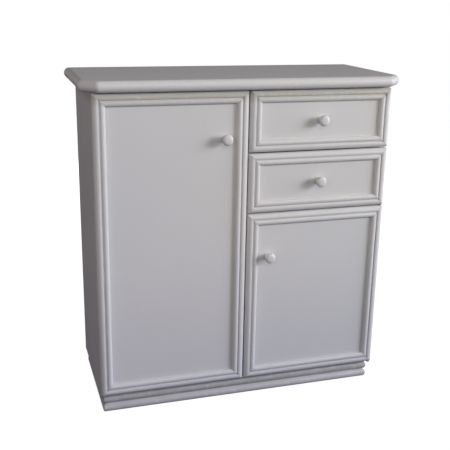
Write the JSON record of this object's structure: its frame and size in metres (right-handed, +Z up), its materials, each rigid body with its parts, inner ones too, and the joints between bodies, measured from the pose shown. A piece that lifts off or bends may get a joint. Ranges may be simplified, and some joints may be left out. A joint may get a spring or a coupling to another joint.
{
  "type": "armoire",
  "caption": "Low painted armoire with a tall door beside drawers over a small door, a bullnose top with clipped corners and a double-bead plinth.",
  "frame": {"origin": "on the floor, under the middle of the whole object's box", "axes": "+X to the right seen from the front, -Y to the front where the doors and drawers open, +Z up"},
  "size_m": [0.866, 0.358, 0.905],
  "materials": {
    "painted_wood": "satin off-white lacquer over wood and fibreboard",
    "white_board": "smooth white faced board",
    "raw_wood": "bare sanded softwood",
    "hardboard": "matt brown hardboard",
    "steel": "zinc plated",
    "brass": "turned brass",
    "grey_plastic": "matt moulded"
  },
  "bodies": {
    "root": {"top_board": "painted_wood", "top_lipping_front": "painted_wood", "top_lipping_left": "painted_wood", "top_lipping_right": "painted_wood", "top_lipping_corners": "painted_wood", "side_panel_left": "painted_wood", "side_panel_right": "painted_wood", "center_divider": "white_board", "bottom_panel": "white_board", "drawer_shelf": "white_board", "back_panel": "hardboard", "shelf_left_upper": "white_board", "shelf_left_lower": "white_board", "shelf_right": "white_board", "shelf_pins": "steel", "plinth_front": "painted_wood", "plinth_left": "painted_wood", "plinth_right": "painted_wood", "plinth_back": "raw_wood", "plinth_blocks": "raw_wood", "pivot_brackets": "steel", "bracket_screws": "steel", "magnetic_catches": "grey_plastic", "drawer_runners": "raw_wood", "carcass_dowels": "raw_wood", "back_panel_screws": "steel"},
    "door_left": {"door_left_panel": "painted_wood", "door_left_stile_hinge": "painted_wood", "door_left_stile_knob": "painted_wood", "door_left_rail_top": "painted_wood", "door_left_rail_bottom": "painted_wood", "door_left_knob": "painted_wood", "door_left_knob_screw": "steel", "door_left_pivot_bushes": "brass", "door_left_strike_plate": "steel"},
    "door_right": {"door_right_panel": "painted_wood", "door_right_stile_hinge": "painted_wood", "door_right_stile_knob": "painted_wood", "door_right_rail_top": "painted_wood", "door_right_rail_bottom": "painted_wood", "door_right_knob": "painted_wood", "door_right_knob_screw": "steel", "door_right_pivot_bushes": "brass", "door_right_strike_plate": "steel"},
    "drawer_upper": {"drawer_upper_panel": "painted_wood", "drawer_upper_frame": "painted_wood", "drawer_upper_sides": "raw_wood", "drawer_upper_box_front": "raw_wood", "drawer_upper_box_back": "raw_wood", "drawer_upper_bottom": "hardboard", "drawer_upper_knob": "painted_wood", "drawer_upper_knob_screw": "steel"},
    "drawer_lower": {"drawer_lower_panel": "painted_wood", "drawer_lower_frame": "painted_wood", "drawer_lower_sides": "raw_wood", "drawer_lower_box_front": "raw_wood", "drawer_lower_box_back": "raw_wood", "drawer_lower_bottom": "hardboard", "drawer_lower_knob": "painted_wood", "drawer_lower_knob_screw": "steel"}
  },
  "joints": [
    {"name": "door_left_hinge", "type": "hinge", "parent": "root", "child": "door_left", "pos_m": [-0.3965, -0.149, 0.46575], "axis": [0, 0, -1], "range_deg": [0, 110]},
    {"name": "door_right_hinge", "type": "hinge", "parent": "root", "child": "door_right", "pos_m": [0.3965, -0.149, 0.30075], "axis": [0, 0, 1], "range_deg": [0, 110]},
    {"name": "drawer_upper_slide", "type": "slide", "parent": "root", "child": "drawer_upper", "axis": [0, -1, 0], "range_m": [0, 0.22]},
    {"name": "drawer_lower_slide", "type": "slide", "parent": "root", "child": "drawer_lower", "axis": [0, -1, 0], "range_m": [0, 0.22]}
  ]
}
